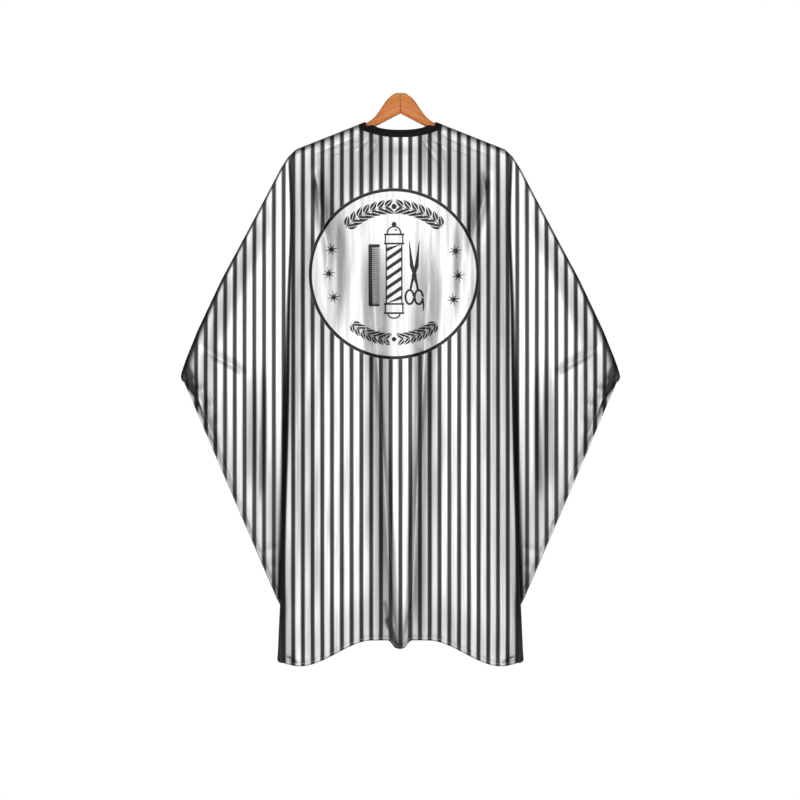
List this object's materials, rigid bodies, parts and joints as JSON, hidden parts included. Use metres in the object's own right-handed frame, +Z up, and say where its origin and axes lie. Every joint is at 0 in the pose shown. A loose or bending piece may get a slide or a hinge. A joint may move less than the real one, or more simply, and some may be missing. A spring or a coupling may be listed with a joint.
{
  "type": "barber cape",
  "caption": "Striped hairdressing cape hung open-backed on a wooden hanger, with spreading side wings, a black elastic neckband and snap fasteners.",
  "frame": {"origin": "top centre of the hanger, in the flat seat round its hook's screw hole", "axes": "+Z up, +X to the viewer's right when facing the cape, -Y out of the front of the cape"},
  "size_m": [0.967, 0.0607, 1.2608],
  "materials": {
    "beech": "lacquered beech, satin",
    "printed_cloth": "white satin-woven polyester printed with upright dark grey stripes",
    "black_knit": "fine black ribbed binding",
    "white_elastic": "woven elastic tape",
    "black_snap": "black japanned brass, semi-gloss",
    "label_satin": "white satin label"
  },
  "bodies": {
    "hanger": {"hanger_arm_left": "beech", "hanger_arm_right": "beech"},
    "cape": {"front_panel": "printed_cloth", "neckband_front": "black_knit", "elastic_front": "white_elastic", "side_pleat_left": "printed_cloth", "side_pleat_right": "printed_cloth"},
    "flap_left": {"back_flap_left": "printed_cloth", "neckband_back_left": "black_knit", "elastic_back_left": "white_elastic", "care_label": "label_satin", "snap_stud_1": "black_snap", "snap_stud_2": "black_snap", "snap_stud_3": "black_snap", "snap_ring_1": "black_snap", "snap_ring_2": "black_snap", "snap_ring_3": "black_snap"},
    "flap_right": {"back_flap_right": "printed_cloth", "neckband_back_right": "black_knit", "elastic_back_right": "white_elastic", "snap_cap_1": "black_snap", "snap_cap_2": "black_snap", "snap_socket_1": "black_snap", "snap_socket_2": "black_snap"},
    "wing_left": {"wing_left": "printed_cloth"},
    "wing_right": {"wing_right": "printed_cloth"}
  },
  "joints": [
    {"name": "cape_lift", "type": "slide", "parent": "hanger", "child": "cape", "axis": [0, 0, 1], "range_m": [0, 1.15]},
    {"name": "flap_left_lift", "type": "hinge", "parent": "cape", "child": "flap_left", "pos_m": [-0.076, 0, -0.0627], "axis": [0.9293, 0, 0.3692], "range_deg": [0, 110]},
    {"name": "flap_right_lift", "type": "hinge", "parent": "cape", "child": "flap_right", "pos_m": [0.076, 0, -0.0627], "axis": [0.9293, 0, -0.3692], "range_deg": [0, 110]},
    {"name": "wing_left_swing", "type": "hinge", "parent": "cape", "child": "wing_left", "pos_m": [-0.266, 0, -0.6], "axis": [0, 0, 1], "range_deg": [-75, 75]},
    {"name": "wing_right_swing", "type": "hinge", "parent": "cape", "child": "wing_right", "pos_m": [0.266, 0, -0.6], "axis": [0, 0, 1], "range_deg": [-75, 75]}
  ]
}
